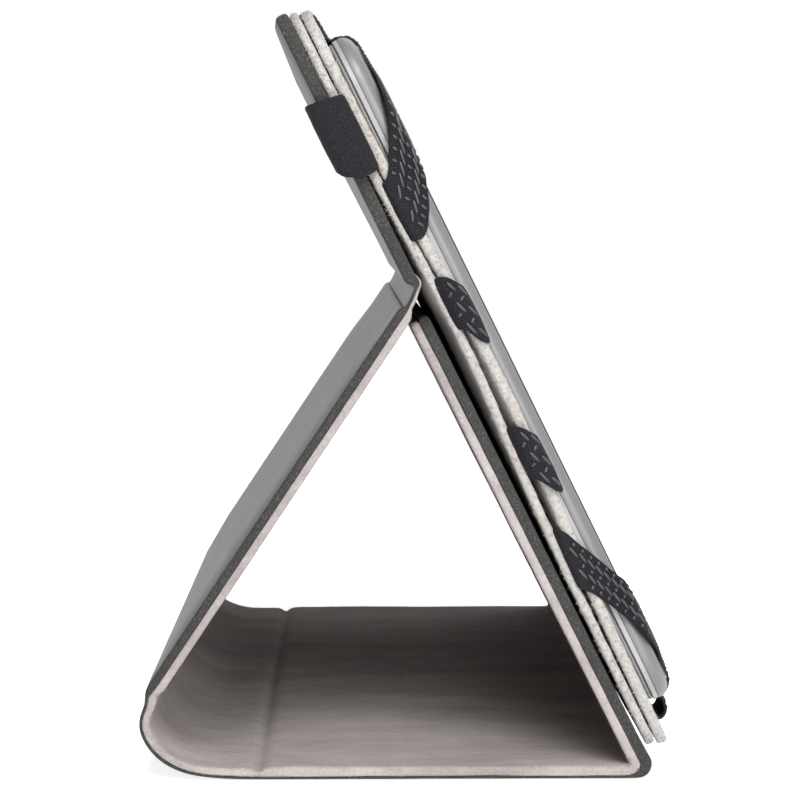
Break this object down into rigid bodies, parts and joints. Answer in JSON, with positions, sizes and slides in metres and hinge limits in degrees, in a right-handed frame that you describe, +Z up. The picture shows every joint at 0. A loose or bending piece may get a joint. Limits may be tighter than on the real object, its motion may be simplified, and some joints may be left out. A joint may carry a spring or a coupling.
{
  "type": "tablet folio case",
  "caption": "Folio tablet case folded into a triangular stand, with felt-covered tablet plates, elastic corner straps, a pen loop and a soft spine.",
  "frame": {"origin": "on the floor under the middle of the object's box", "axes": "+Z up, +Y along the folds from the near edge to the far edge, +X from the spine towards the side where the screen faces"},
  "size_m": [0.1255, 0.2668, 0.1763],
  "materials": {
    "leather": "satin grained imitation leather, dark grey-black",
    "lining": "matt microfibre suede, warm light grey",
    "felt": "matt felt, warm light grey, fuzzy at the edges",
    "board": "plain grey board",
    "elastic": "matt black woven elastic with grip stripes",
    "tablet_shell": "satin grey",
    "tablet_glass": "gloss black"
  },
  "bodies": {
    "base": {"base_skin": "leather", "base_board": "board", "base_lining": "lining", "corner_fold": "leather"},
    "spine": {"spine_skin": "leather", "spine_lining": "lining"},
    "leg": {"leg_skin": "leather", "leg_board": "board", "leg_lining": "lining", "apex_fold": "leather"},
    "prop": {"prop_skin": "leather", "prop_board": "board", "prop_lining": "lining"},
    "holder": {"upper_skin": "leather", "upper_board": "board", "back_plate_felt": "felt", "back_plate_board": "board", "front_plate_felt": "felt", "front_plate_board": "board", "tablet_shell": "tablet_shell", "tablet_glass": "tablet_glass", "edge_loop_near_upper": "elastic", "edge_loop_near_lower": "elastic", "edge_loop_far_upper": "elastic", "edge_loop_far_lower": "elastic", "pen_loop_tail": "elastic"},
    "strap_near_top": {"corner_strap_near_top": "elastic"},
    "strap_near_bottom": {"corner_strap_near_bottom": "elastic"},
    "strap_far_top": {"corner_strap_far_top": "elastic"},
    "strap_far_bottom": {"corner_strap_far_bottom": "elastic"},
    "loop": {"pen_loop": "elastic"}
  },
  "joints": [
    {"name": "spine_lift", "type": "hinge", "parent": "base", "child": "spine", "pos_m": [-0.03518, 0, 0.0029], "axis": [0, 1, 0], "range_deg": [0, 10]},
    {"name": "leg_swing", "type": "hinge", "parent": "spine", "child": "leg", "pos_m": [-0.06109, 0, 0.02112], "axis": [0, -1, 0], "range_deg": [0, 40]},
    {"name": "holder_tilt", "type": "hinge", "parent": "leg", "child": "holder", "pos_m": [0.00015, 0, 0.11037], "axis": [0, -1, 0], "range_deg": [0, 20]},
    {"name": "prop_fold", "type": "hinge", "parent": "base", "child": "prop", "pos_m": [0.05052, 0, 0.003], "axis": [0, -1, 0], "range_deg": [0, 36]},
    {"name": "strap_near_top_stretch", "type": "slide", "parent": "holder", "child": "strap_near_top", "axis": [-0.3122, -0.7071, 0.6345], "range_m": [0, 0.012], "stiffness_N_per_m": 150},
    {"name": "strap_near_bottom_stretch", "type": "slide", "parent": "holder", "child": "strap_near_bottom", "axis": [0.3122, -0.7071, -0.6345], "range_m": [0, 0.012], "stiffness_N_per_m": 150},
    {"name": "strap_far_top_stretch", "type": "slide", "parent": "holder", "child": "strap_far_top", "axis": [-0.3122, 0.7071, 0.6345], "range_m": [0, 0.012], "stiffness_N_per_m": 150},
    {"name": "strap_far_bottom_stretch", "type": "slide", "parent": "holder", "child": "strap_far_bottom", "axis": [0.3122, 0.7071, -0.6345], "range_m": [0, 0.012], "stiffness_N_per_m": 150},
    {"name": "loop_stretch", "type": "slide", "parent": "holder", "child": "loop", "axis": [0, -1, 0], "range_m": [0, 0.005], "stiffness_N_per_m": 150}
  ],
  "couplings": [
    {"joint": "spine_lift", "follows": "leg_swing", "ratio": 0.25},
    {"joint": "holder_tilt", "follows": "leg_swing", "ratio": 0.5},
    {"joint": "prop_fold", "follows": "leg_swing", "ratio": 0.9}
  ]
}
